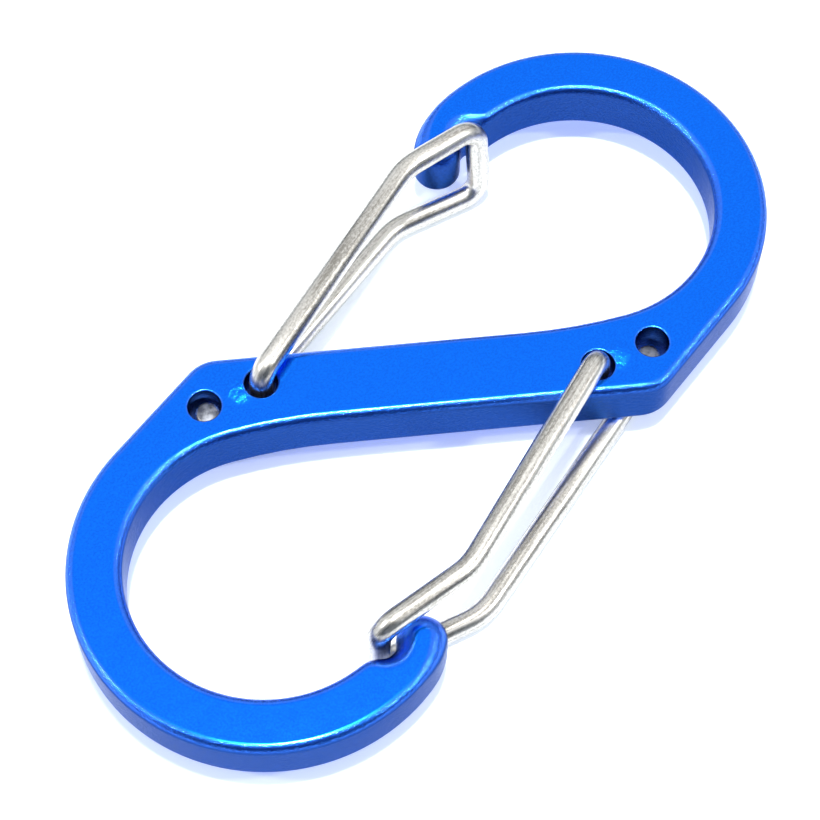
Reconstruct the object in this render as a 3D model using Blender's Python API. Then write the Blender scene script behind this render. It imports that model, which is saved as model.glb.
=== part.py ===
"""S-shaped double carabiner: one flat aluminium frame and two sprung wire gates.

Everything is laid out in plan first, in millimetres, with the bar that joins the two hooks
along the plan's x axis and the half-turn centre of the S at (0, 0). The plan is then turned by
BAR_ANGLE, so that the long axis of the S lies along +X, and lifted so that the lowest wire
stands on z = 0. Hook A is the one at +X and hook B, its half turn, is the one at -X.
"""
import math

import bmesh
import bpy
from mathutils import Matrix, Vector

MM = 0.001

# Frame: a plate cut to an S, with tumbled edges
PLATE_THICKNESS = 4.1
EDGE_ROUNDING = 0.6
BAR_WIDTH = 5.4
BAR_ANGLE = math.radians(-46.6)
LOOP_CENTRE = Vector((11.8, 12.45))
LOOP_OUTER_RADIUS = 12.9
LOOP_INNER_RADIUS = 9.25
LOOP_TO_BAR_RADIUS = 36.0
SHOULDER_SLOPE = math.radians(46.4)
SHOULDER_RADIUS = 2.6
NOSE_CENTRE = Vector((2.5, 18.4))
NOSE_RADIUS = 1.65
NOSE_BACK_RADIUS = 5.0
NOTCH_CENTRE = Vector((5.18, 18.5))
NOTCH_LIP_RADIUS = 2.5

# Holes in the shoulder of hook B, for the feet of gate A
HOLE_RADIUS = 1.1
INNER_HOLE = Vector((-11.2, 0.48))
OUTER_HOLE = Vector((-15.05, -0.88))

# Gates: round spring wire
WIRE_RADIUS = 0.8
WIRE_CLEARANCE = 0.3
FOOT_BEND_RADIUS = 1.2
KINK_BEND_RADIUS = 4.5
CORNER_BEND_RADIUS = 1.4
UPPER_FOOT_REACH = 3.4
LOWER_FOOT_RECESS = 1.2
GATE_OPENING = math.radians(22)

# Each gate was bent by hand, so its kinks and crossbar sit a little differently. The places
# are those of a gate on hook A, and gate B is turned half a turn when it is built.
GATE_BENDS = {
    "gate_a": {"upper_kink": (-0.1, 15.6), "crossbar_top": (5.2, 18.6),
               "lower_kink": (-1.05, 14.75), "crossbar_foot": (5.45, 17.35)},
    "gate_b": {"upper_kink": (-0.95, 14.75), "crossbar_top": (5.2, 18.5),
               "lower_kink": (-1.85, 15.4), "crossbar_foot": (5.35, 18.1)},
}

ARC_STEP = math.radians(7)
TIGHT_ARC_STEP = math.radians(15)
HOLE_SIDES = 32
WIRE_BEVEL_RESOLUTION = 6

NOTCH_RADIUS = (NOTCH_CENTRE - NOSE_CENTRE).length - NOSE_RADIUS
PLATE_BOTTOM = 2 * WIRE_RADIUS + WIRE_CLEARANCE
PLATE_TOP = PLATE_BOTTOM + PLATE_THICKNESS
UPPER_LEG_HEIGHT = PLATE_TOP + WIRE_CLEARANCE + WIRE_RADIUS
LOWER_LEG_HEIGHT = WIRE_RADIUS
MIDDLE_HEIGHT = (PLATE_BOTTOM + PLATE_TOP) / 2


def clear_scene():
    """Remove whatever the file opened with."""
    for obj in list(bpy.data.objects):
        bpy.data.objects.remove(obj, do_unlink=True)


def metal(name, colour, roughness):
    """A plain metal material."""
    material = bpy.data.materials.new(name)
    material.use_nodes = True
    shader = material.node_tree.nodes["Principled BSDF"]
    shader.inputs["Base Color"].default_value = (*colour, 1.0)
    shader.inputs["Metallic"].default_value = 1.0
    shader.inputs["Roughness"].default_value = roughness
    return material


def placed(point, height=0.0):
    """A plan point in millimetres as a place in the part's frame, in metres."""
    turned = Matrix.Rotation(BAR_ANGLE, 3, "Z") @ Vector((point[0], point[1], height))
    return turned * MM


def polar(centre, radius, angle):
    """The point of a plan circle at an angle."""
    return centre + radius * Vector((math.cos(angle), math.sin(angle)))


def heading(vector):
    """The angle of a plan vector."""
    return math.atan2(vector.y, vector.x)


def arc(centre, radius, start, end, step):
    """Plan points along an arc, turning the way that start and end say."""
    count = max(2, math.ceil(abs(end - start) / step))
    return [polar(centre, radius, start + (end - start) * i / count) for i in range(count + 1)]


def meeting_point(centre_1, distance_1, centre_2, distance_2, side):
    """The point at two given distances, left (1) or right (-1) of the line from 1 to 2."""
    apart = (centre_2 - centre_1).length
    cosine = (distance_1 ** 2 + apart ** 2 - distance_2 ** 2) / (2 * distance_1 * apart)
    return polar(centre_1, distance_1, heading(centre_2 - centre_1) + side * math.acos(cosine))


def hook_outline():
    """Hook A's half of the S, anticlockwise from the shoulder's corner to the bar's upper side."""
    right_angle = math.pi / 2
    slope_normal = SHOULDER_SLOPE - right_angle
    normal = polar(Vector((0, 0)), 1, slope_normal)
    corner_height = SHOULDER_RADIUS - BAR_WIDTH / 2
    slope_reach = LOOP_CENTRE.dot(normal) + LOOP_OUTER_RADIUS - SHOULDER_RADIUS
    corner = Vector(((slope_reach - corner_height * normal.y) / normal.x, corner_height))
    outline = arc(corner, SHOULDER_RADIUS, -right_angle, slope_normal, TIGHT_ARC_STEP)

    # Round the back of the hook, then two blended arcs round its nose
    back = meeting_point(LOOP_CENTRE, LOOP_OUTER_RADIUS - NOSE_BACK_RADIUS,
                         NOSE_CENTRE, NOSE_BACK_RADIUS - NOSE_RADIUS, -1)
    back_start = heading(back - LOOP_CENTRE)
    nose_start = heading(NOSE_CENTRE - back)
    nose_end = heading(NOTCH_CENTRE - NOSE_CENTRE) + 2 * math.pi
    outline += arc(LOOP_CENTRE, LOOP_OUTER_RADIUS, slope_normal, back_start, ARC_STEP)
    outline += arc(back, NOSE_BACK_RADIUS, back_start, nose_start, TIGHT_ARC_STEP)[1:]
    outline += arc(NOSE_CENTRE, NOSE_RADIUS, nose_start, nose_end, TIGHT_ARC_STEP)[1:]

    # The notch that the crossbar closes into, and its rounded lip
    lip = meeting_point(LOOP_CENTRE, LOOP_INNER_RADIUS + NOTCH_LIP_RADIUS,
                        NOTCH_CENTRE, NOTCH_RADIUS + NOTCH_LIP_RADIUS, -1)
    notch_start = heading(NOSE_CENTRE - NOTCH_CENTRE)
    notch_end = heading(lip - NOTCH_CENTRE)
    lip_start = notch_end - math.pi
    lip_end = heading(LOOP_CENTRE - lip)
    outline += arc(NOTCH_CENTRE, NOTCH_RADIUS, notch_start % (2 * math.pi), notch_end, TIGHT_ARC_STEP)[1:]
    outline += arc(lip, NOTCH_LIP_RADIUS, lip_start, lip_end, TIGHT_ARC_STEP)[1:]

    # Back inside the loop, and a long blend into the bar
    blend_height = BAR_WIDTH / 2 + LOOP_TO_BAR_RADIUS
    blend_reach = LOOP_TO_BAR_RADIUS - LOOP_INNER_RADIUS
    blend_offset = math.sqrt(blend_reach ** 2 - (blend_height - LOOP_CENTRE.y) ** 2)
    blend = Vector((LOOP_CENTRE.x - blend_offset, blend_height))
    blend_start = heading(LOOP_CENTRE - blend)
    inside_start = lip_end + math.pi
    outline += arc(LOOP_CENTRE, LOOP_INNER_RADIUS, inside_start, blend_start, ARC_STEP)[1:]
    outline += arc(blend, LOOP_TO_BAR_RADIUS, blend_start, -right_angle, ARC_STEP)[1:]
    return outline


def hole_cutter(number, centre):
    """A cylinder right through the plate at one hole."""
    mesh = bpy.data.meshes.new(f"hole_{number}_cutter")
    shape = bmesh.new()
    bmesh.ops.create_cone(shape, cap_ends=True, segments=HOLE_SIDES, radius1=HOLE_RADIUS * MM,
                          radius2=HOLE_RADIUS * MM, depth=2 * PLATE_THICKNESS * MM)
    shape.to_mesh(mesh)
    shape.free()
    cutter = bpy.data.objects.new(mesh.name, mesh)
    bpy.context.collection.objects.link(cutter)
    cutter.location = placed(centre, MIDDLE_HEIGHT)
    cutter.hide_render = True
    cutter.display_type = "WIRE"
    return cutter


def build_frame(material):
    """The S plate: outline, thickness, rounded edges and four holes."""
    half = hook_outline()
    outline = half + [-point for point in half]
    shape = bmesh.new()
    corners = [shape.verts.new(placed(point, PLATE_BOTTOM)) for point in outline]
    underside = shape.faces.new(corners)
    raised = bmesh.ops.extrude_face_region(shape, geom=[underside])
    lifted = [part for part in raised["geom"] if isinstance(part, bmesh.types.BMVert)]
    bmesh.ops.translate(shape, verts=lifted, vec=(0, 0, PLATE_THICKNESS * MM))
    bmesh.ops.recalc_face_normals(shape, faces=shape.faces)
    mesh = bpy.data.meshes.new("s_frame")
    shape.to_mesh(mesh)
    shape.free()
    mesh.shade_smooth()
    mesh.set_sharp_from_angle(angle=math.radians(40))
    mesh.materials.append(material)
    frame = bpy.data.objects.new("s_frame", mesh)
    bpy.context.collection.objects.link(frame)

    rounding = frame.modifiers.new("tumbled_edges", "BEVEL")
    rounding.width = EDGE_ROUNDING * MM
    rounding.segments = 2
    rounding.limit_method = "ANGLE"
    rounding.angle_limit = math.radians(60)
    for number, centre in enumerate((INNER_HOLE, OUTER_HOLE, -INNER_HOLE, -OUTER_HOLE)):
        cut = frame.modifiers.new(f"hole_{number}", "BOOLEAN")
        cut.operation = "DIFFERENCE"
        cut.solver = "EXACT"
        cut.object = hole_cutter(number, centre)
    return frame


def rounded_route(corners, radii):
    """Points along a bent wire: straight runs joined by an arc at each inner corner."""
    route = [corners[0]]
    for before, corner, after, radius in zip(corners, corners[1:], corners[2:], radii):
        into = (corner - before).normalized()
        out = (after - corner).normalized()
        turn = into.angle(out)
        centre = corner + (out - into).normalized() * radius / math.cos(turn / 2)
        start = corner - into * radius * math.tan(turn / 2) - centre
        axis = into.cross(out)
        count = max(2, math.ceil(turn / TIGHT_ARC_STEP))
        for i in range(count + 1):
            route.append(centre + Matrix.Rotation(turn * i / count, 3, axis) @ start)
    route.append(corners[-1])
    return route


def build_leg(name, corners, radii, axis, material):
    """One leg of a gate as a capped round wire, with its origin on its hinge axis."""
    curve = bpy.data.curves.new(name, "CURVE")
    curve.dimensions = "3D"
    curve.bevel_depth = WIRE_RADIUS * MM
    curve.bevel_resolution = WIRE_BEVEL_RESOLUTION
    curve.use_fill_caps = True
    curve.twist_mode = "MINIMUM"
    curve.materials.append(material)
    route = rounded_route([placed(corner, corner[2]) for corner in corners], [r * MM for r in radii])
    spline = curve.splines.new("POLY")
    spline.points.add(len(route) - 1)
    for point, place in zip(spline.points, route):
        point.co = (*(place - axis.location), 1.0)
    spline.use_smooth = True
    leg = bpy.data.objects.new(name, curve)
    bpy.context.collection.objects.link(leg)
    leg.parent = axis
    return leg


def joint_axis(name, centre, parent=None):
    """An empty on a hinge axis, and the parent of what turns there."""
    axis = bpy.data.objects.new(name, None)
    axis.empty_display_size = WIRE_RADIUS * MM
    axis.location = placed(centre)
    bpy.context.collection.objects.link(axis)
    if parent:
        axis.parent = parent
        axis.matrix_parent_inverse = Matrix.Translation(-parent.location)
    return axis


def flexing(bends):
    """How much slower the lower leg turns than the upper one, as a share of its turn.

    Both legs carry the same crossbar, but the upper turns about the inner hole and the
    lower about the outer one. Their speeds agree where they meet, across the lower leg.
    """
    crossbar = (Vector(bends["crossbar_top"]) + Vector(bends["crossbar_foot"])) / 2
    from_outer = crossbar - OUTER_HOLE
    return from_outer.dot(crossbar - INNER_HOLE) / from_outer.length_squared - 1


def flex_pole(bends):
    """Where the lower leg turns on the upper one, so that its foot stays in the outer hole."""
    return OUTER_HOLE + (OUTER_HOLE - INNER_HOLE) / flexing(bends)


def build_gate(name, bends, turned, material):
    """Both legs of one gate, built on hook A and turned half a turn for hook B."""
    side = -1 if turned else 1
    hole_line = OUTER_HOLE - INNER_HOLE
    drift = hole_line * (1 + flexing(bends)) * GATE_OPENING ** 2 / 2
    lower_foot = side * (OUTER_HOLE - drift / 2)
    upper_foot = side * INNER_HOLE
    upper_kink = side * Vector(bends["upper_kink"])
    lower_kink = side * Vector(bends["lower_kink"])
    top = side * Vector(bends["crossbar_top"])
    foot = side * Vector(bends["crossbar_foot"])
    upper_axis = joint_axis(f"{name}_axis", side * INNER_HOLE)
    lower_axis = joint_axis(f"{name}_flex_axis", side * flex_pole(bends), upper_axis)

    # The crossbar leans from its top corner to its foot, and is parted halfway down
    rise = UPPER_LEG_HEIGHT - LOWER_LEG_HEIGHT
    part_above = (MIDDLE_HEIGHT + WIRE_CLEARANCE / 2 - LOWER_LEG_HEIGHT) / rise
    part_below = (MIDDLE_HEIGHT - WIRE_CLEARANCE / 2 - LOWER_LEG_HEIGHT) / rise
    above = foot.lerp(top, part_above)
    below = foot.lerp(top, part_below)
    radii = [FOOT_BEND_RADIUS, KINK_BEND_RADIUS, CORNER_BEND_RADIUS]
    build_leg(f"{name}_upper_leg", [
        Vector((*upper_foot, PLATE_TOP - UPPER_FOOT_REACH)),
        Vector((*upper_foot, UPPER_LEG_HEIGHT)),
        Vector((*upper_kink, UPPER_LEG_HEIGHT)),
        Vector((*top, UPPER_LEG_HEIGHT)),
        Vector((*above, MIDDLE_HEIGHT + WIRE_CLEARANCE / 2)),
    ], radii, upper_axis, material)
    build_leg(f"{name}_lower_leg", [
        Vector((*lower_foot, PLATE_TOP - LOWER_FOOT_RECESS)),
        Vector((*lower_foot, LOWER_LEG_HEIGHT)),
        Vector((*lower_kink, LOWER_LEG_HEIGHT)),
        Vector((*foot, LOWER_LEG_HEIGHT)),
        Vector((*below, MIDDLE_HEIGHT - WIRE_CLEARANCE / 2)),
    ], radii, lower_axis, material)


def main():
    clear_scene()
    build_frame(metal("blue_anodised_aluminium", (0.005, 0.16, 0.95), 0.3))
    wire = metal("bright_spring_wire", (0.72, 0.71, 0.68), 0.25)
    build_gate("gate_a", GATE_BENDS["gate_a"], False, wire)
    build_gate("gate_b", GATE_BENDS["gate_b"], True, wire)


main()
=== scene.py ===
# %% [markdown]
# # An S-shaped double carabiner
# This clip is three pieces of metal: a flat S punched from aluminium plate and anodised blue,
# and two bent spring wires that close its hooks. The mechanical model gives the sizes and the
# joints. Here each piece is modelled again at its true size, with the rounded edges, hole rims,
# bends and surface marks that the mechanical model leaves out.

# %% Load the mechanical model
import math

import bpy
from mathutils import Matrix, Vector


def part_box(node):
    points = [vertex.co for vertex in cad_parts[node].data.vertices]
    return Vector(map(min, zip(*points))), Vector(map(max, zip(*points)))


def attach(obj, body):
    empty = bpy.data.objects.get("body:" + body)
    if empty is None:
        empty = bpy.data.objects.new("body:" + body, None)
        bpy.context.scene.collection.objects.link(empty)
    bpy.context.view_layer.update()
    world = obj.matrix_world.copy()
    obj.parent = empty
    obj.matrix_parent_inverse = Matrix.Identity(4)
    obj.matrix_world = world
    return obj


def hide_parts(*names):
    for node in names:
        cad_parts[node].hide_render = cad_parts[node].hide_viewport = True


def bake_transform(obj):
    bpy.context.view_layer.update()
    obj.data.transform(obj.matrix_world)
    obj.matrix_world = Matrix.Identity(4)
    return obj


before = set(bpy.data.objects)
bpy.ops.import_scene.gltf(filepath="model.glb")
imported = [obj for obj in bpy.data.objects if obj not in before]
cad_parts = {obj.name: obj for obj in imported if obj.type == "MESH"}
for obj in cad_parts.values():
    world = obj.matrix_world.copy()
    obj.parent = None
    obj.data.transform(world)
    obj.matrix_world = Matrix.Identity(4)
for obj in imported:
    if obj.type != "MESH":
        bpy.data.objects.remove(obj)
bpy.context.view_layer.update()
plate_low, plate_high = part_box("s_frame")

# %% [markdown]
# ## The plan of the S
# The S is easiest to draw with the bar between its hooks along x, and the half-turn centre at
# the origin. Each finished piece is then turned once, so that the long axis lies along x as
# it does in the mechanical model. The heights come from the plate's own box.

# %% Units, plan and heights
MM = 0.001
BAR_ANGLE = math.radians(-46.6)
TURN_TO_MODEL = Matrix.Rotation(BAR_ANGLE, 4, "Z")
PLATE_BOTTOM = plate_low.z / MM
PLATE_TOP = plate_high.z / MM
print("plate from", round(PLATE_BOTTOM, 2), "to", round(PLATE_TOP, 2), "mm")


def model_point(x, y, z=0.0):
    """A point of the plan, in millimetres, as a place in the model, in metres."""
    return TURN_TO_MODEL @ (Vector((x, y, z)) * MM)


# %% [markdown]
# ## Camera
# A long lens from above and in front keeps the S nearly free of perspective. The camera is
# placed by what it aims at, its heading, its angle down and its distance, as on a tripod,
# because those can be changed one at a time, and three raw coordinates can't.

# %% Camera
CAMERA_AIM = Vector((-2.13, 0.04, 3.95)) * MM
CAMERA_HEADING = math.radians(37.35)
CAMERA_TILT = math.radians(62.0)
CAMERA_ROLL = math.radians(0.11)
CAMERA_DISTANCE = 161.9 * MM
CAMERA_LENS = 106.45
CAMERA_FILM_WIDTH = 36.0
NEAREST_SEEN = 5 * MM

view = Vector((math.cos(CAMERA_TILT) * math.cos(CAMERA_HEADING),
               math.cos(CAMERA_TILT) * math.sin(CAMERA_HEADING), -math.sin(CAMERA_TILT)))
camera = bpy.data.objects.new("camera", bpy.data.cameras.new("camera"))
bpy.context.collection.objects.link(camera)
camera.data.lens = CAMERA_LENS
camera.data.sensor_width = CAMERA_FILM_WIDTH
camera.data.clip_start = NEAREST_SEEN
camera.location = CAMERA_AIM - view * CAMERA_DISTANCE
level = view.to_track_quat("-Z", "Y").to_matrix()
camera.rotation_euler = (level @ Matrix.Rotation(CAMERA_ROLL, 3, "Z")).to_euler()
bpy.context.scene.camera = camera
print("camera at", [round(value / MM, 1) for value in camera.location], "mm")

# %% [markdown]
# ## Studio
# Polished metal is only as good as what it reflects. A pale floor and a pale room all round
# give the bright plain look. The side of the room behind the camera is darker, which gives the
# walls and the rounded edges their deep blue. A picture of a real room could light the scene,
# but a few nodes do it with no file, and each part of them can be changed by itself.


# %% Colour helper
def colour(code):
    """An sRGB hex colour as linear red, green, blue and alpha."""
    channels = [int(code[i:i + 2], 16) / 255 for i in (0, 2, 4)]
    linear = [c / 12.92 if c <= 0.04045 else ((c + 0.055) / 1.055) ** 2.4 for c in channels]
    return (*linear, 1.0)


# %% Node helper
def add_node(tree, kind, links=None, **settings):
    """Add a node and set its properties and sockets by name.

    In links, a socket's name or number goes with what feeds it: a node, which stands for its
    first output, or one chosen output of a node, or a plain value.
    """
    node = tree.nodes.new("ShaderNode" + kind)
    for name, value in settings.items():
        if name in node.bl_rna.properties:
            setattr(node, name, value)
        else:
            node.inputs[name.replace("_", " ")].default_value = value
    for name, source in (links or {}).items():
        if isinstance(source, bpy.types.Node):
            source = source.outputs[0]
        if isinstance(source, bpy.types.NodeSocket):
            tree.links.new(source, node.inputs[name])
        else:
            node.inputs[name].default_value = source
    return node


# %% Room light
bpy.context.scene.view_settings.view_transform = "Standard"
towards_camera = Vector((-math.cos(CAMERA_HEADING), -math.sin(CAMERA_HEADING), 0))
to_the_left = Vector((-math.sin(CAMERA_HEADING), math.cos(CAMERA_HEADING), 0))
world = bpy.data.worlds.new("pale_room")
bpy.context.scene.world = world
world.use_nodes = True
room = world.node_tree
room.nodes.clear()
sky = add_node(room, "TexCoord").outputs["Generated"]


def facing(direction, dark_at, bright_at):
    """How far a part of the room lies one way, as a smooth step between two cosines."""
    cosine = add_node(room, "VectorMath", {0: sky, 1: direction}, operation="DOT_PRODUCT")
    return add_node(room, "MapRange", {"Value": cosine.outputs["Value"]},
                    interpolation_type="SMOOTHSTEP", From_Min=dark_at, From_Max=bright_at)


above_horizon = facing((0, 0, 1), dark_at=0.08, bright_at=0.5)
beyond_the_clip = facing(towards_camera, dark_at=0.62, bright_at=0.28)
left_window = facing(to_the_left, dark_at=0.55, bright_at=0.85)
lit = add_node(room, "Math", {0: above_horizon, 1: beyond_the_clip}, operation="MULTIPLY")
lit = add_node(room, "Math", {0: lit, 1: left_window}, operation="MAXIMUM")
shade = add_node(room, "MixRGB", {"Fac": lit}, Color1=colour("5a6574"),
                 Color2=colour("f6faff"))
backdrop = add_node(room, "Background", {"Color": shade}, Strength=1.0)
add_node(room, "OutputWorld", {"Surface": backdrop})
print("nodes of the room:", len(room.nodes))

# %% [markdown]
# ## Floor
# The clip lies on white paper. Paper is matt, so it has hardly any shine. It also glows a
# little here, as paper lit from all round a studio does, and that keeps the shadows pale
# without flattening the light on the metal.

# %% Floor
FLOOR_SIDE = 3.0
FLOOR_GAP = 0.05 * MM
bpy.ops.mesh.primitive_plane_add(size=FLOOR_SIDE, location=(0, 0, -FLOOR_GAP))
floor = bpy.context.object
floor.name = "floor"
paper = bpy.data.materials.new("white_paper")
paper.use_nodes = True
paper_shader = paper.node_tree.nodes["Principled BSDF"]
paper_shader.inputs["Base Color"].default_value = colour("f3f8ff")
paper_shader.inputs["Roughness"].default_value = 0.9
paper_shader.inputs["Emission Color"].default_value = colour("eef9fb")
paper_shader.inputs["Emission Strength"].default_value = 0.3
paper_shader.inputs["Specular IOR Level"].default_value = 0.1
floor.data.materials.append(paper)
print("floor:", FLOOR_SIDE, "m wide,", FLOOR_GAP / MM, "mm below the clip")

# %% [markdown]
# ## Lamps
# One lamp hangs overhead and one stands on each side. They are small on purpose. A rounded
# metal edge shows a lamp as a bright line as wide as the lamp looks from there, so a small
# lamp draws a thin crisp line, and a large one would only turn the metal pale.

# %% Lamps
LAMP_SIDE = 0.05
OVERHEAD_POWER = 2.8
OVERHEAD_PLACE = towards_camera * 0.02 + Vector((0, 0, 0.6))
SIDE_POWER = 1.2
SIDE_REACH = 0.5
SIDE_PLACE = towards_camera * 0.1 + Vector((0, 0, 0.5))


def add_lamp(name, away, power):
    """A small square lamp at a place in metres, turned to look at the clip."""
    lamp = bpy.data.objects.new(name, bpy.data.lights.new(name, "AREA"))
    bpy.context.collection.objects.link(lamp)
    lamp.data.size = LAMP_SIDE
    lamp.data.energy = power
    lamp.location = away
    lamp.rotation_euler = (-lamp.location).to_track_quat("-Z", "Y").to_euler()
    print(name, "of", power, "W,", round(away.length, 2), "m away")


add_lamp("overhead_softbox", OVERHEAD_PLACE, OVERHEAD_POWER)
add_lamp("left_softbox", to_the_left * SIDE_REACH + SIDE_PLACE, SIDE_POWER)
add_lamp("right_softbox", to_the_left * -SIDE_REACH + SIDE_PLACE, SIDE_POWER)

# %% [markdown]
# ## Drawing with one vertex
# The outline of the S is a chain of arcs and straight runs. A drawn curve could follow it,
# but its arcs would not be true circles. Here it is drawn with one vertex, which is extruded
# along each straight run and spun about the centre of each arc, so that every radius is
# exact. The next four small functions do these steps.


# %% Start, run and turn
def deselect_all():
    """Leave nothing selected, so that the next tool acts on its own piece only."""
    if bpy.context.object and bpy.context.object.mode == "EDIT":
        bpy.ops.object.mode_set(mode="OBJECT")
    bpy.ops.object.select_all(action="DESELECT")


def start_point(name, place):
    """Begin a piece in edit mode as one vertex."""
    deselect_all()
    bpy.ops.mesh.primitive_plane_add(size=MM, location=place)
    bpy.ops.object.transform_apply(location=True)
    bpy.context.object.name = name
    bpy.ops.object.mode_set(mode="EDIT")
    bpy.ops.mesh.select_all(action="SELECT")
    bpy.ops.mesh.merge(type="CENTER")
    return bpy.context.object


def run(step, count=1):
    """Extrude what is selected along a straight line."""
    for _ in range(count):
        bpy.ops.mesh.extrude_region_move(TRANSFORM_OT_translate={"value": step / count})


def turn(centre, angle, step, axis=(0, 0, 1)):
    """Spin what is selected about an axis, anticlockwise, in steps of at most one angle."""
    count = max(2, math.ceil(abs(angle) / step))
    bpy.ops.mesh.spin(steps=count, angle=-angle, center=centre, axis=axis, dupli=False)

# %% [markdown]
# ## Where the arcs of the S have their centres
# Every arc touches the next one without a corner. The centres could all be measured, but
# small errors would leave kinks, so most of them are worked out from the radii. Two arcs that
# touch from inside have their centres the difference of their radii apart, and two that touch
# back to back have them the sum apart.

# %% Sizes of the S, in millimetres
BAR_HALF_WIDTH = 2.7
LOOP_CENTRE = Vector((11.8, 12.45, 0))
LOOP_OUTER_RADIUS = 12.9
LOOP_INNER_RADIUS = 9.25
LOOP_TO_BAR_RADIUS = 36.0
SHOULDER_SLOPE = math.radians(46.4)
SHOULDER_RADIUS = 2.6
NOSE_CENTRE = Vector((2.5, 18.4, 0))
NOSE_RADIUS = 1.65
NOSE_BACK_RADIUS = 5.0
NOTCH_CENTRE = Vector((5.18, 18.5, 0))
NOTCH_LIP_RADIUS = 2.5
NOTCH_RADIUS = (NOTCH_CENTRE - NOSE_CENTRE).length - NOSE_RADIUS
print("hook from", LOOP_INNER_RADIUS, "to", LOOP_OUTER_RADIUS, "mm about its centre")
print("notch radius:", round(NOTCH_RADIUS, 2), "mm")


# %% Arc helpers
def polar(centre, radius, angle):
    """The point of a circle in the plan at an angle."""
    return centre + radius * Vector((math.cos(angle), math.sin(angle), 0))


def heading(vector):
    """The angle of a plan vector."""
    return math.atan2(vector.y, vector.x)


def meeting_point(centre_1, distance_1, centre_2, distance_2):
    """The point at two given distances, to the right of the line from 1 to 2."""
    apart = (centre_2 - centre_1).length
    cosine = (distance_1 ** 2 + apart ** 2 - distance_2 ** 2) / (2 * distance_1 * apart)
    return polar(centre_1, distance_1, heading(centre_2 - centre_1) - math.acos(cosine))


# %% Centres of the blending arcs
slope_normal = SHOULDER_SLOPE - math.pi / 2
across_slope = polar(Vector((0, 0, 0)), 1, slope_normal)
corner_height = SHOULDER_RADIUS - BAR_HALF_WIDTH
corner_reach = LOOP_CENTRE.dot(across_slope) + LOOP_OUTER_RADIUS - SHOULDER_RADIUS
shoulder = Vector(((corner_reach - corner_height * across_slope.y) / across_slope.x,
                   corner_height, 0))
nose_back = meeting_point(LOOP_CENTRE, LOOP_OUTER_RADIUS - NOSE_BACK_RADIUS,
                          NOSE_CENTRE, NOSE_BACK_RADIUS - NOSE_RADIUS)
notch_lip = meeting_point(LOOP_CENTRE, LOOP_INNER_RADIUS + NOTCH_LIP_RADIUS,
                          NOTCH_CENTRE, NOTCH_RADIUS + NOTCH_LIP_RADIUS)
blend_height = BAR_HALF_WIDTH + LOOP_TO_BAR_RADIUS
blend_offset = math.sqrt((LOOP_TO_BAR_RADIUS - LOOP_INNER_RADIUS) ** 2
                         - (blend_height - LOOP_CENTRE.y) ** 2)
bar_blend = Vector((LOOP_CENTRE.x - blend_offset, blend_height, 0))
print("shoulder corner centre:", [round(value, 2) for value in shoulder.xy])
print("bar blend centre:", [round(value, 2) for value in bar_blend.xy])

# %% [markdown]
# ## Outline of the S
# One hook is drawn from its shoulder corner, up the back, round the nose and the notch that
# the gate closes into, and back inside the loop to the bar. A copy turned half way round is
# the other hook, because a half turn maps the S onto itself.

# %% Draw one hook
ARC_STEP = math.radians(3)
SMALL_ARC_STEP = math.radians(7)
BAR_POINTS = 12


def spin_about(centre, start, end, step=ARC_STEP):
    """Draw the arc about a plan centre from one angle to another."""
    turn(centre * MM, end - start, step)


lower_side = -math.pi / 2
outline_start = polar(shoulder, SHOULDER_RADIUS, lower_side) * MM
s_plate = start_point("s_plate", outline_start)
spin_about(shoulder, lower_side, slope_normal, SMALL_ARC_STEP)
slope_end = polar(LOOP_CENTRE, LOOP_OUTER_RADIUS, slope_normal)
run((slope_end - polar(shoulder, SHOULDER_RADIUS, slope_normal)) * MM)

back_start = heading(nose_back - LOOP_CENTRE)
nose_start = heading(NOSE_CENTRE - nose_back)
nose_end = heading(NOTCH_CENTRE - NOSE_CENTRE) + 2 * math.pi
spin_about(LOOP_CENTRE, slope_normal, back_start)
spin_about(nose_back, back_start, nose_start, SMALL_ARC_STEP)
spin_about(NOSE_CENTRE, nose_start, nose_end, SMALL_ARC_STEP)

notch_start = heading(NOSE_CENTRE - NOTCH_CENTRE) % (2 * math.pi)
notch_end = heading(notch_lip - NOTCH_CENTRE)
loop_start = heading(notch_lip - LOOP_CENTRE)
loop_end = heading(LOOP_CENTRE - bar_blend)
spin_about(NOTCH_CENTRE, notch_start, notch_end, SMALL_ARC_STEP)
spin_about(notch_lip, notch_end - math.pi, loop_start - math.pi, SMALL_ARC_STEP)
spin_about(LOOP_CENTRE, loop_start, loop_end)
spin_about(bar_blend, loop_end, lower_side)
bar_start = polar(bar_blend, LOOP_TO_BAR_RADIUS, lower_side) * MM
run(-outline_start - bar_start, count=BAR_POINTS)
bpy.ops.object.mode_set(mode="OBJECT")
print("vertices in one hook's outline:", len(s_plate.data.vertices))

# %% Copy it half way round and close the outline
TOUCHING = 0.01
bpy.ops.object.mode_set(mode="EDIT")
bpy.ops.mesh.select_all(action="SELECT")
bpy.ops.mesh.duplicate()
bpy.ops.transform.rotate(value=math.pi, orient_axis="Z", center_override=(0, 0, 0))
bpy.ops.mesh.select_all(action="SELECT")
bpy.ops.mesh.remove_doubles(threshold=TOUCHING * MM)
bpy.ops.mesh.edge_face_add()
bpy.ops.object.mode_set(mode="OBJECT")
print("faces:", len(s_plate.data.polygons), "outline points:", len(s_plate.data.vertices))

# %% [markdown]
# ## Thickness and rounded edges
# The real S is punched from plate and then tumbled with grit, which rounds every edge. The
# face is extruded to the plate's thickness and its edges are bevelled. The tips of the hooks
# stick out, so the grit wears their upper edges much rounder. A bevel has one width, so
# there each slice of the rounding is scaled up about the corner that it was cut from. Last,
# a narrow inset gives each flat face a rim of its own, which keeps it shaded dead flat.


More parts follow.
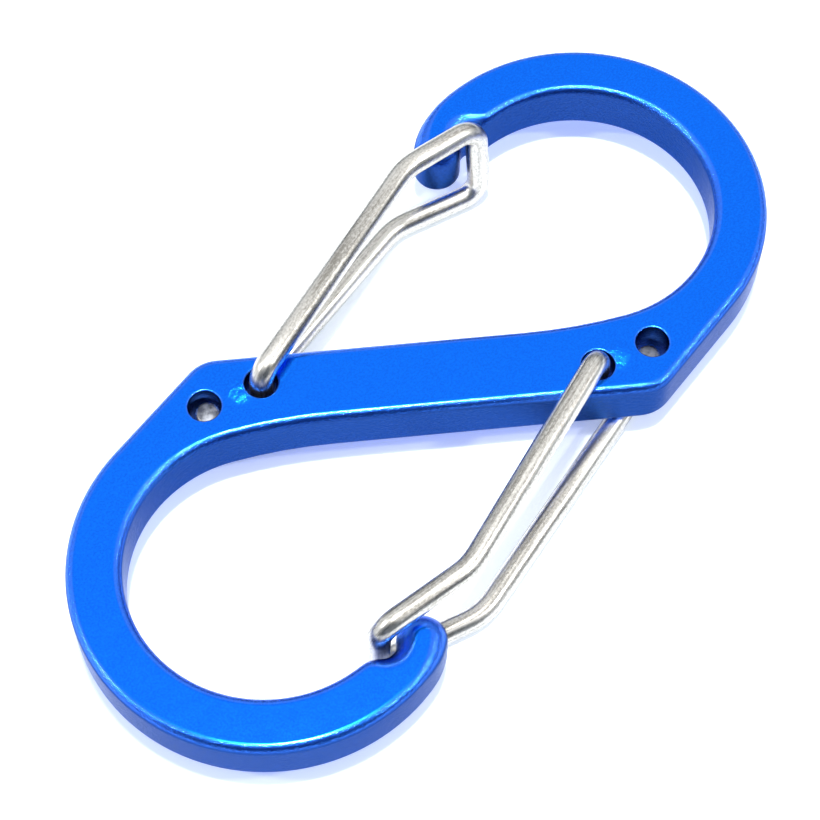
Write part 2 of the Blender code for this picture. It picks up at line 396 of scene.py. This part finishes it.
# %% Select by place
def select_only(piece, kind, wanted):
    """In edit mode, select just the edges or the polygons that a test picks out."""
    if bpy.context.object.mode == "EDIT":
        bpy.ops.object.mode_set(mode="OBJECT")
    kinds = ("vertices", "edges", "polygons")
    bpy.context.tool_settings.mesh_select_mode = [kind == one for one in kinds]
    mesh = piece.data
    for one in kinds:
        group = getattr(mesh, one)
        group.foreach_set("select", [False] * len(group))
    places = [vertex.co for vertex in mesh.vertices]
    chosen = 0
    for element in getattr(mesh, kind):
        element.select = wanted(element, [places[i] for i in element.vertices])
        chosen += element.select
    bpy.ops.object.mode_set(mode="EDIT")
    return chosen


# %% Thickness
bpy.ops.object.mode_set(mode="EDIT")
bpy.ops.mesh.select_all(action="SELECT")
bpy.ops.transform.translate(value=(0, 0, PLATE_BOTTOM * MM))
run(Vector((0, 0, PLATE_TOP - PLATE_BOTTOM)) * MM)
bpy.ops.mesh.select_all(action="SELECT")
bpy.ops.mesh.normals_make_consistent(inside=False)
bpy.ops.object.mode_set(mode="OBJECT")
print("plate thickness:", round(PLATE_TOP - PLATE_BOTTOM, 2), "mm")

# %% Rounded edges
EDGE_ROUNDING = 0.6
ROUNDING_SEGMENTS = 6


def is_outline(edge, corners):
    """True for an edge that lies in the upper or the lower face."""
    return abs(corners[0].z - corners[1].z) < TOUCHING * MM


print("outline edges:", select_only(s_plate, "edges", is_outline))
bpy.ops.mesh.bevel(offset=EDGE_ROUNDING * MM, segments=ROUNDING_SEGMENTS, affect="EDGES",
                   clamp_overlap=False)
bpy.ops.object.mode_set(mode="OBJECT")
print("faces after rounding:", len(s_plate.data.polygons))

# %% Rounder at the tips
TIP_ROUNDING = 1.4
TIP_WORN_AT = Vector((3.2, 17.7, 0))
WORN_FULLY = 1.8
WORN_SLIGHTLY = 4.2


def off_worn_spot(place):
    """How far a place in metres is from the nearer tip's most worn spot, in millimetres."""
    return min((place / MM - side * TIP_WORN_AT).xy.length for side in (1, -1))


wall_top = PLATE_TOP - EDGE_ROUNDING
upper_wall = [vertex.co.copy() for vertex in s_plate.data.vertices
              if abs(vertex.co.z / MM - wall_top) < TOUCHING
              and off_worn_spot(vertex.co) < WORN_SLIGHTLY + 1]
moved = 0
for vertex in s_plate.data.vertices:
    low = vertex.co.z / MM < wall_top - TOUCHING
    if low or off_worn_spot(vertex.co) > WORN_SLIGHTLY:
        continue
    wall = min(upper_wall, key=lambda place: (place - vertex.co).xy.length)
    nearness = (WORN_SLIGHTLY - off_worn_spot(wall)) / (WORN_SLIGHTLY - WORN_FULLY)
    nearness = min(1.0, max(0.0, nearness))
    growth = nearness * nearness * (3 - 2 * nearness)
    corner = Vector((wall.x, wall.y, PLATE_TOP * MM))
    vertex.co = corner + (vertex.co - corner) * (1 + growth * (TIP_ROUNDING / EDGE_ROUNDING - 1))
    moved += 1
print("vertices worn back at the tips:", moved)

# %% A flat rim inside the rounding
FLAT_RIM = 0.05
MOST_CORNERS_ELSEWHERE = 100


def is_plate_face(face, corners):
    """True for the two big flat faces of the plate."""
    return len(corners) > MOST_CORNERS_ELSEWHERE


print("flat faces:", select_only(s_plate, "polygons", is_plate_face))
bpy.ops.mesh.inset(thickness=FLAT_RIM * MM)
bpy.ops.object.mode_set(mode="OBJECT")

# %% [markdown]
# ## Holes for the wire feet
# Each shoulder has two drilled holes. They could be left out of the outline when it is
# filled, but a Boolean cylinder cuts them as a drill does, straight through the finished
# plate, and can be moved later. Each rim is then broken with a small bevel, as drilling and
# tumbling leave it.


# %% Work on one piece
def work_on(piece):
    """Select one piece alone and make it the one that the next tools act on."""
    deselect_all()
    piece.select_set(True)
    bpy.context.view_layer.objects.active = piece


def apply_modifier(piece, name, kind, **settings):
    """Add a modifier to a piece and apply it straight away."""
    modifier = piece.modifiers.new(name, kind)
    for setting, value in settings.items():
        setattr(modifier, setting, value)
    bpy.ops.object.modifier_apply(modifier=name)

# %% Drill the holes
HOLE_RADIUS = 1.1
DRILL_SIDES = 48
DRILL_LENGTH = 8
INNER_HOLE = Vector((-11.2, 0.48, 0))
OUTER_HOLE = Vector((-15.05, -0.88, 0))
holes = [INNER_HOLE, OUTER_HOLE, -INNER_HOLE, -OUTER_HOLE]
for number, hole in enumerate(holes):
    deselect_all()
    middle = Vector((hole.x, hole.y, (PLATE_BOTTOM + PLATE_TOP) / 2)) * MM
    bpy.ops.mesh.primitive_cylinder_add(vertices=DRILL_SIDES, radius=HOLE_RADIUS * MM,
                                        depth=DRILL_LENGTH * MM, location=middle)
    drill = bpy.context.object
    work_on(s_plate)
    apply_modifier(s_plate, f"hole_{number}", "BOOLEAN", operation="DIFFERENCE",
                   solver="EXACT", object=drill)
    bpy.data.objects.remove(drill)
print("faces after drilling:", len(s_plate.data.polygons))

# %% Break the hole rims
RIM_BEVEL = 0.16
RIM_SEGMENTS = 4
ON_THE_RIM = 0.02


def is_hole_rim(edge, corners):
    """True for an edge that lies on a hole's circle in one of the plate's flat faces."""
    for corner in corners:
        place = corner / MM
        off_circle = min(abs((place - hole).xy.length - HOLE_RADIUS) for hole in holes)
        off_face = min(abs(place.z - PLATE_TOP), abs(place.z - PLATE_BOTTOM))
        if off_circle > ON_THE_RIM or off_face > ON_THE_RIM:
            return False
    return True


print("rim edges:", select_only(s_plate, "edges", is_hole_rim))
bpy.ops.mesh.bevel(offset=RIM_BEVEL * MM, segments=RIM_SEGMENTS, affect="EDGES")
bpy.ops.object.mode_set(mode="OBJECT")

# %% [markdown]
# ## The plate in its place
# The finished plate is turned once, from the plan to the model's place. Smooth shading alone
# would bend the light on the big flat faces where they meet the rounding, so each normal is
# weighted by the area of its faces, and the flats reflect as a true plane.

# %% Turn the plate into the model's place
SMOOTH_BELOW = math.radians(32)
WHOLLY_BY_AREA = 100


def place_in_model(piece):
    """Turn a piece drawn on the plan into the model's frame, and leave its object unturned."""
    work_on(piece)
    piece.rotation_euler.z = BAR_ANGLE
    bpy.ops.object.transform_apply(rotation=True)
    bpy.ops.object.shade_smooth_by_angle(angle=SMOOTH_BELOW)


place_in_model(s_plate)
apply_modifier(s_plate, "true_flats", "WEIGHTED_NORMAL", mode="FACE_AREA",
               weight=WHOLLY_BY_AREA, keep_sharp=True)
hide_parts("s_frame")
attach(s_plate, "frame")
print("plate faces:", len(s_plate.data.polygons))

# %% [markdown]
# ## Wire gates
# A wire gate is bent round pins from one length of spring wire. A curve with a round bevel
# would be quicker, but the model is bent as the real wire is: a circle is extruded along each
# straight run and spun about each bend, so that every bend has its true radius and every ring
# has the same number of corners. One foot goes down into the inner hole, the wire runs over
# the plate to a kink and a corner, drops past the tip as the crossbar, and comes back below
# the plate and up into the outer hole.

# %% Sizes of the wire, in millimetres
WIRE_RADIUS = 0.8
WIRE_SIDES = 32
WIRE_CLEARANCE = 0.3
UPPER_HEIGHT = PLATE_TOP + WIRE_CLEARANCE + WIRE_RADIUS
LOWER_HEIGHT = WIRE_RADIUS
FOOT_BEND = 1.2
KINK_BEND = 4.5
CORNER_BEND = 1.4
BEND_STEP = math.radians(6)
RINGS_PER_RUN = 8
print("wire", 2 * WIRE_RADIUS, "mm thick, its legs at", LOWER_HEIGHT, "and",
      round(UPPER_HEIGHT, 2), "mm")


# %% Bend a wire through corners
def bend_wire(name, corners, radii):
    """Extrude a wire's circle along straight runs, and spin it round a bend at each corner."""
    deselect_all()
    corners = [corner * MM for corner in corners]
    first = (corners[1] - corners[0]).normalized()
    bpy.ops.mesh.primitive_circle_add(vertices=WIRE_SIDES, radius=WIRE_RADIUS * MM,
                                      location=corners[0],
                                      rotation=first.to_track_quat("Z", "X").to_euler())
    bpy.ops.object.transform_apply(location=True, rotation=True)
    bpy.context.object.name = name
    bpy.context.tool_settings.mesh_select_mode = (True, False, False)
    bpy.ops.object.mode_set(mode="EDIT")
    bpy.ops.mesh.select_all(action="SELECT")
    place = corners[0]
    for before, corner, after, radius in zip(corners, corners[1:], corners[2:], radii):
        into = (corner - before).normalized()
        out = (after - corner).normalized()
        angle = into.angle(out)
        reach = radius * MM * math.tan(angle / 2)
        run(corner - into * reach - place, count=RINGS_PER_RUN)
        centre = corner + (out - into).normalized() * radius * MM / math.cos(angle / 2)
        turn(centre, angle, BEND_STEP, axis=into.cross(out))
        place = corner + out * reach
    run(corners[-1] - place, count=RINGS_PER_RUN)
    bpy.ops.object.mode_set(mode="OBJECT")
    return bpy.context.object


# %% [markdown]
# ## Two gates, bent by hand
# The two gates are the same wire, and each hook's gate is the other's turned half way round.
# A hand-closed wire is never quite the same twice, so each gate has its own kinks and
# corners, in the plan and in millimetres, and its lower foot ends at its own height.

# %% Corners of the two gates: upper kink, upper corner, lower corner, lower kink
LOWER_FOOT_DRIFT = Vector((0.13, 0.04, 0))
UPPER_FOOT_END = 2.6
LOWER_FOOT_END = {"gate_a": 4.84, "gate_b": 4.13}
GATE_CORNERS = {
    "gate_a": [(-0.1, 15.6), (5.2, 18.6), (5.45, 17.35), (-1.05, 14.75)],
    "gate_b": [(-0.95, 14.75), (5.2, 18.5), (5.35, 18.1), (-1.85, 15.4)],
}
wires = {}
for gate, side in (("gate_a", 1), ("gate_b", -1)):
    upper_kink, top, foot, lower_kink = (side * Vector((*p, 0)) for p in GATE_CORNERS[gate])
    upper_foot = side * INNER_HOLE
    lower_foot = side * (OUTER_HOLE + LOWER_FOOT_DRIFT)
    up = Vector((0, 0, UPPER_HEIGHT))
    low = Vector((0, 0, LOWER_HEIGHT))
    wires[gate] = bend_wire(f"{gate}_wire", [
        upper_foot + Vector((0, 0, UPPER_FOOT_END)), upper_foot + up, upper_kink + up,
        top + up, foot + low, lower_kink + low, lower_foot + low,
        lower_foot + Vector((0, 0, LOWER_FOOT_END[gate]))],
        [FOOT_BEND, KINK_BEND, CORNER_BEND, CORNER_BEND, KINK_BEND, FOOT_BEND])
    print(gate, "wire vertices:", len(wires[gate].data.vertices))

# %% [markdown]
# ## Marks that follow the wire
# Drawn wire carries fine lines from its die, and they run along it round every bend. A
# pattern on plain coordinates would cut straight across the bends. So each ring of the wire
# remembers where it was on the straight wire before bending, and a pattern can follow it.
# The rings were made in order, so a vertex's number is enough. Each end is closed and its
# rim drawn in a little, as shears leave it.


# %% Remember the straight wire
def remember_straight_wire(wire):
    """Store each vertex's place on the unbent wire, in metres, and the wire's length."""
    mesh = wire.data
    rings = len(mesh.vertices) // WIRE_SIDES
    middles = []
    for ring in range(rings):
        corners = [mesh.vertices[ring * WIRE_SIDES + side].co for side in range(WIRE_SIDES)]
        middles.append(sum(corners, Vector()) / WIRE_SIDES)
    straight = mesh.attributes.new("straight_wire", "FLOAT_VECTOR", "POINT")
    along = 0.0
    for ring in range(rings):
        along += (middles[ring] - middles[ring - 1]).length if ring else 0.0
        for side in range(WIRE_SIDES):
            angle = 2 * math.pi * side / WIRE_SIDES
            straight.data[ring * WIRE_SIDES + side].vector = (
                WIRE_RADIUS * MM * math.cos(angle), WIRE_RADIUS * MM * math.sin(angle), along)
    return along


# %% Sheared ends
SHEAR_WIDTH = 0.12
SHEAR_DEPTH = 0.06


def is_cap(face, corners):
    """True for the flat face that closes a wire's end."""
    return len(corners) == WIRE_SIDES


for gate, wire in wires.items():
    work_on(wire)
    for slot in ("bright_spring_wire", "sheared_wire_end"):
        wire.data.materials.append(bpy.data.materials.get(slot) or bpy.data.materials.new(slot))
    print(gate, "wire length:", round(remember_straight_wire(wire) / MM, 1), "mm")
    bpy.ops.object.mode_set(mode="EDIT")
    bpy.ops.mesh.select_all(action="SELECT")
    bpy.ops.mesh.fill_holes(sides=0)
    bpy.ops.mesh.normals_make_consistent(inside=False)
    bpy.ops.object.mode_set(mode="OBJECT")
    print("caps:", select_only(wire, "polygons", is_cap))
    bpy.ops.mesh.inset(thickness=SHEAR_WIDTH * MM, depth=SHEAR_DEPTH * MM)
    bpy.ops.object.mode_set(mode="OBJECT")
    for face in wire.data.polygons:
        face.material_index = int(len(face.vertices) == WIRE_SIDES)

# %% [markdown]
# ## Three lengths of one wire
# When a gate opens, its two legs turn about different holes, so the crossbar twists a little
# between them. One rigid piece could not do that. The legs are rigid pieces, each on a body
# of its own, and the crossbar is parted off as a third piece, on neither body. Each wire is
# parted just past its corners, on straight runs, where the cut can't be seen.


# %% Part the crossbar from the legs
def part_off(wire, name, wanted):
    """Separate the faces that a test picks out into a new piece, and close both cuts."""
    work_on(wire)
    select_only(wire, "polygons", wanted)
    bpy.ops.mesh.separate(type="SELECTED")
    bpy.ops.object.mode_set(mode="OBJECT")
    piece = next(other for other in bpy.context.selected_objects if other != wire)
    piece.name = name
    for part in (wire, piece):
        work_on(part)
        bpy.ops.object.mode_set(mode="EDIT")
        bpy.ops.mesh.select_all(action="SELECT")
        bpy.ops.mesh.fill_holes(sides=0)
        bpy.ops.object.mode_set(mode="OBJECT")
    return piece


# %% Upper leg, crossbar and lower leg
CROSSBAR_REACH = 2.6
FOOT_REACH = 1.6
LEG_CEILING = LOWER_HEIGHT + 1.5 * WIRE_RADIUS
for gate, side in (("gate_a", 1), ("gate_b", -1)):
    wire = wires[gate]
    top = side * Vector((*GATE_CORNERS[gate][1], 0)) * MM
    foot = side * Vector((*GATE_CORNERS[gate][2], 0)) * MM

    def in_crossbar(face, corners):
        """True for a face within reach of the crossbar's corners."""
        middle = sum(corners, Vector()) / len(corners)
        return min((middle - end).xy.length for end in (top, foot)) < CROSSBAR_REACH * MM

    def in_lower_leg(face, corners):
        """True for a face of the lower leg or its foot."""
        middle = sum(corners, Vector()) / len(corners)
        off_hole = (middle - side * OUTER_HOLE * MM).xy.length
        return middle.z < LEG_CEILING * MM or off_hole < FOOT_REACH * MM

    pieces = {
        "crossbar": part_off(wire, f"{gate}_crossbar", in_crossbar),
        "lower": part_off(wire, f"{gate}_lower_wire", in_lower_leg),
        "upper": wire,
    }
    wire.name = f"{gate}_upper_wire"
    for part, piece in pieces.items():
        place_in_model(piece)
        print(piece.name, "faces:", len(piece.data.polygons))
    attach(pieces["upper"], f"{gate}_upper")
    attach(pieces["lower"], f"{gate}_lower")
    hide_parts(f"{gate}_upper_leg")
    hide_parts(f"{gate}_lower_leg")
    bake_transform(pieces["crossbar"])

# %% [markdown]
# ## Blue anodised aluminium
# Anodising grows a clear hard oxide on the metal and fills its pores with dye, so the metal's
# own shine comes back blue, and pale only at a glancing angle. Paint under a clear coat would
# look like plastic here, so the blue is the colour of the metal itself. The flat faces keep
# the smooth rolled skin, and the punched walls are rougher. The walls get a deeper blue as
# painted shade, which stands for the darker reflections they show. How far a face looks up or
# down tells the one from the other. Real pores are far too fine to show, so the dye's grain
# is drawn as coarse as it needs to be seen.

# %% Blue anodised aluminium: two blues
DYE_GRAIN = 0.14
anodised = bpy.data.materials.new("blue_anodised_aluminium")
anodised.use_nodes = True
tree = anodised.node_tree
anodised_shader = tree.nodes["Principled BSDF"]
place = add_node(tree, "TexCoord").outputs["Object"]
geometry = add_node(tree, "NewGeometry")
normal = add_node(tree, "SeparateXYZ", {0: geometry.outputs["Normal"]})
upward = add_node(tree, "Math", {0: normal.outputs["Z"]}, operation="ABSOLUTE")
flatness = add_node(tree, "MapRange", {"Value": upward}, interpolation_type="SMOOTHSTEP",
                    From_Min=0.25, From_Max=0.85)
pores = add_node(tree, "TexNoise", {"Vector": place}, Scale=1 / (DYE_GRAIN * MM),
                 Detail=2.0, Roughness=0.7)
dye = add_node(tree, "MapRange", {"Value": pores}, interpolation_type="SMOOTHSTEP",
               From_Min=0.3, From_Max=0.7)
flat_blue = add_node(tree, "MixRGB", {"Fac": dye}, Color1=colour("0d68f2"),
                     Color2=colour("1077fc"))
# Painted shade: faces that look sideways, the walls, get a darker copy of the blue, for the
# darker reflections they show.
wall_blue_painted_shade = add_node(tree, "MixRGB", {"Fac": dye}, Color1=colour("1b3876"),
                     Color2=colour("22468e"))
blue = add_node(tree, "MixRGB",
                {"Fac": flatness, "Color1": wall_blue_painted_shade, "Color2": flat_blue})
tree.links.new(blue.outputs[0], anodised_shader.inputs["Base Color"])
anodised_shader.inputs["Metallic"].default_value = 1.0
anodised_shader.inputs["Specular Tint"].default_value = colour("b4c0dc")
print("dye grain:", DYE_GRAIN, "mm")

# %% [markdown]
# ## Its polish
# Tumbling leaves the rounded edges glossier than the flats, so the clear oxide shows there as
# a coat with white highlights. A coat all over would turn the flats pale, so it follows the
# edges only. The flats have a satin polish that varies a little in patches.

# %% Glossy edges on satin flats
POLISH_PATCHES = 0.9
edge_band = add_node(tree, "MapRange", {"Value": upward}, interpolation_type="SMOOTHSTEP",
                     From_Min=0.995, From_Max=0.975)
on_edge = add_node(tree, "Math", {0: edge_band, 1: flatness}, operation="MULTIPLY")
gloss = add_node(tree, "MapRange", {"Value": on_edge}, interpolation_type="SMOOTHSTEP",
                 To_Min=0.04, To_Max=0.7)
tree.links.new(gloss.outputs[0], anodised_shader.inputs["Coat Weight"])
anodised_shader.inputs["Coat Roughness"].default_value = 0.1
anodised_shader.inputs["Coat IOR"].default_value = 1.6
patches = add_node(tree, "TexNoise", {"Vector": place}, Scale=1 / (POLISH_PATCHES * MM),
                   Detail=3.0, Roughness=0.55)
polish = add_node(tree, "MapRange", {"Value": patches}, interpolation_type="SMOOTHSTEP",
                  From_Min=0.3, From_Max=0.7, To_Min=0.185, To_Max=0.205)
tree.links.new(polish.outputs[0], anodised_shader.inputs["Roughness"])
print("polish patches:", POLISH_PATCHES, "mm")

# %% [markdown]
# ## Its dents
# Three kinds of dent catch the light. The grit leaves a fine grain on the edges and walls,
# which breaks up the bright edge lines. Rolling leaves slow waves. Pressing the wire home
# leaves a small bruise between each pair of holes. None is deeper than about a tenth of a
# millimetre, too shallow to change an outline, so they are bumps in the finish, laid one on
# top of another, and not cut into the mesh.

# %% Bruise between each pair of holes
BRUISE_GRAIN = 0.3
BRUISE_RADIUS = 1.2
BRUISE_CORE = 0.3
TOWARDS_OUTER_HOLE = 0.38
bruise_place = INNER_HOLE.lerp(OUTER_HOLE, TOWARDS_OUTER_HOLE)
bruises = []
for side in (1, -1):
    spot = model_point(*(side * bruise_place).xy, PLATE_TOP)
    off_spot = add_node(tree, "VectorMath", {0: place, 1: spot}, operation="DISTANCE")
    bruises.append(add_node(tree, "MapRange", {"Value": off_spot.outputs["Value"]},
                            interpolation_type="SMOOTHSTEP", From_Min=BRUISE_RADIUS * MM,
                            From_Max=BRUISE_CORE * MM))
bruised = add_node(tree, "Math", {0: bruises[0], 1: bruises[1]}, operation="MAXIMUM")
crumple = add_node(tree, "TexNoise", {"Vector": place}, Scale=1 / (BRUISE_GRAIN * MM),
                   Detail=4.0, Roughness=0.55)
crumple = add_node(tree, "Math", {0: crumple, 1: bruised}, operation="MULTIPLY")
print("bruises:", len(bruises), "of", BRUISE_RADIUS, "mm radius")

# %% Grain, waves and bruises as bumps
GRIT_GRAIN = 0.22
GRIT_DEPTH = 0.04
ROLLED_WAVES = 1.6
WAVE_DEPTH = 0.02
BRUISE_DEPTH = 0.12
grain = add_node(tree, "TexNoise", {"Vector": place}, Scale=1 / (GRIT_GRAIN * MM),
                 Detail=4.0, Roughness=0.7)
waves = add_node(tree, "TexNoise", {"Vector": place}, Scale=1 / (ROLLED_WAVES * MM),
                 Detail=1.0, Roughness=0.55)
tumbled = add_node(tree, "MapRange", {"Value": upward}, interpolation_type="SMOOTHSTEP",
                   From_Min=0.99, From_Max=0.93, To_Min=0.1, To_Max=1.0)
grain_bump = add_node(tree, "Bump", {"Height": grain, "Strength": tumbled},
                      Distance=GRIT_DEPTH * MM)
wave_bump = add_node(tree, "Bump", {"Height": waves, "Normal": grain_bump},
                     Strength=0.6, Distance=WAVE_DEPTH * MM)
bruise_bump = add_node(tree, "Bump", {"Height": crumple, "Normal": wave_bump},
                       Strength=1.0, Distance=BRUISE_DEPTH * MM)
for socket in ("Normal", "Coat Normal"):
    tree.links.new(bruise_bump.outputs[0], anodised_shader.inputs[socket])
s_plate.data.materials.clear()
s_plate.data.materials.append(anodised)
print("nodes of the anodised finish:", len(tree.nodes))

# %% [markdown]
# ## Bright spring wire
# Spring wire is stainless steel pulled cold through a die. It is bright and slightly warm in
# tone, with fine lines along it, a fine frost between them, and a few brown specks where it
# has been handled. Its colour comes from the steel itself, so it is a bare metal with no
# coat. The pattern reads the place on the straight wire, so the lines follow the bends, and
# it is squeezed along the wire, which draws its blotches out into lines and streaks. Real
# die lines are finer than a hundredth of a millimetre, and are drawn as coarse as they need
# to be seen.

# %% Lines, streaks, frost and specks, by their size in millimetres
DIE_LINES = 0.16
LINE_SQUEEZE = 0.02
STREAKS = 0.6
STREAK_SQUEEZE = 0.06
FROST = 0.12
FROST_SQUEEZE = 0.6
SPECKS = 0.35
bright_wire = bpy.data.materials["bright_spring_wire"]
bright_wire.use_nodes = True
tree = bright_wire.node_tree
wire_shader = tree.nodes["Principled BSDF"]
straight = add_node(tree, "Attribute", attribute_name="straight_wire").outputs["Vector"]
long_lines = add_node(tree, "Mapping", {"Vector": straight},
                      Scale=(1, 1, LINE_SQUEEZE))
lines = add_node(tree, "TexNoise", {"Vector": long_lines}, Scale=1 / (DIE_LINES * MM),
                 Detail=2.0, Roughness=0.55)
long_streaks = add_node(tree, "Mapping", {"Vector": straight},
                        Scale=(1, 1, STREAK_SQUEEZE))
streaks = add_node(tree, "TexNoise", {"Vector": long_streaks}, Scale=1 / (STREAKS * MM),
                   Detail=3.0, Roughness=0.55)
long_frost = add_node(tree, "Mapping", {"Vector": straight},
                      Scale=(1, 1, FROST_SQUEEZE))
frost = add_node(tree, "TexNoise", {"Vector": long_frost}, Scale=1 / (FROST * MM),
                 Detail=2.0, Roughness=0.7)
blots = add_node(tree, "TexNoise", {"Vector": straight}, Scale=1 / (SPECKS * MM),
                 Detail=5.0, Roughness=0.7)
specks = add_node(tree, "MapRange", {"Value": blots}, interpolation_type="SMOOTHSTEP",
                  From_Min=0.66, From_Max=0.74)
print("die lines:", DIE_LINES, "mm wide,", round(DIE_LINES / LINE_SQUEEZE, 1), "mm long")

# %% Bright spring wire
LINE_DEPTH = 0.012
tone = add_node(tree, "Math", {0: lines, 1: 0.25}, operation="MULTIPLY")
tone = add_node(tree, "Math", {0: frost, 1: 0.35, 2: tone}, operation="MULTIPLY_ADD")
tone = add_node(tree, "Math", {0: streaks, 1: 0.4, 2: tone}, operation="MULTIPLY_ADD")
brightness = add_node(tree, "MapRange", {"Value": tone}, interpolation_type="SMOOTHSTEP",
                      From_Min=0.36, From_Max=0.6)
steel = add_node(tree, "MixRGB", {"Fac": brightness}, Color1=colour("98938a"),
                 Color2=colour("e2ded6"))
stain = add_node(tree, "Math", {0: specks, 1: 0.55}, operation="MULTIPLY")
steel = add_node(tree, "MixRGB", {"Fac": stain, "Color1": steel}, Color2=colour("6e5a4a"))
tree.links.new(steel.outputs[0], wire_shader.inputs["Base Color"])
wire_shader.inputs["Metallic"].default_value = 1.0
drawn_polish = add_node(tree, "MapRange", {"Value": streaks},
                        interpolation_type="SMOOTHSTEP", From_Min=0.3, From_Max=0.7,
                        To_Min=0.24, To_Max=0.34)
tree.links.new(drawn_polish.outputs[0], wire_shader.inputs["Roughness"])
line_bump = add_node(tree, "Bump", {"Height": lines}, Strength=0.5,
                     Distance=LINE_DEPTH * MM)
tree.links.new(line_bump.outputs[0], wire_shader.inputs["Normal"])
print("nodes of the wire finish:", len(tree.nodes))

# %% [markdown]
# ## Sheared wire end
# The wire is cut to length with shears, which tear the last of the steel. The end is the
# same steel, but grey and rough, with torn pits about half a millimetre apart. It is a
# material of its own, on the end face alone, because the die never touched that face.

# %% Sheared wire end
TORN_PITS = 0.5
PIT_DEPTH = 0.05
sheared = bpy.data.materials["sheared_wire_end"]
sheared.use_nodes = True
tree = sheared.node_tree
sheared_shader = tree.nodes["Principled BSDF"]
place = add_node(tree, "TexCoord").outputs["Object"]
torn = add_node(tree, "TexNoise", {"Vector": place}, Scale=1 / (TORN_PITS * MM),
                Detail=4.0, Roughness=0.55)
raised = add_node(tree, "MapRange", {"Value": torn}, interpolation_type="SMOOTHSTEP",
                  From_Min=0.35, From_Max=0.65)
torn_grey = add_node(tree, "MixRGB", {"Fac": raised}, Color1=colour("62656c"),
                     Color2=colour("9b9ea4"))
tree.links.new(torn_grey.outputs[0], sheared_shader.inputs["Base Color"])
sheared_shader.inputs["Metallic"].default_value = 1.0
sheared_shader.inputs["Roughness"].default_value = 0.55
torn_bump = add_node(tree, "Bump", {"Height": torn}, Strength=0.8,
                     Distance=PIT_DEPTH * MM)
tree.links.new(torn_bump.outputs[0], sheared_shader.inputs["Normal"])
print("nodes of the sheared finish:", len(tree.nodes))
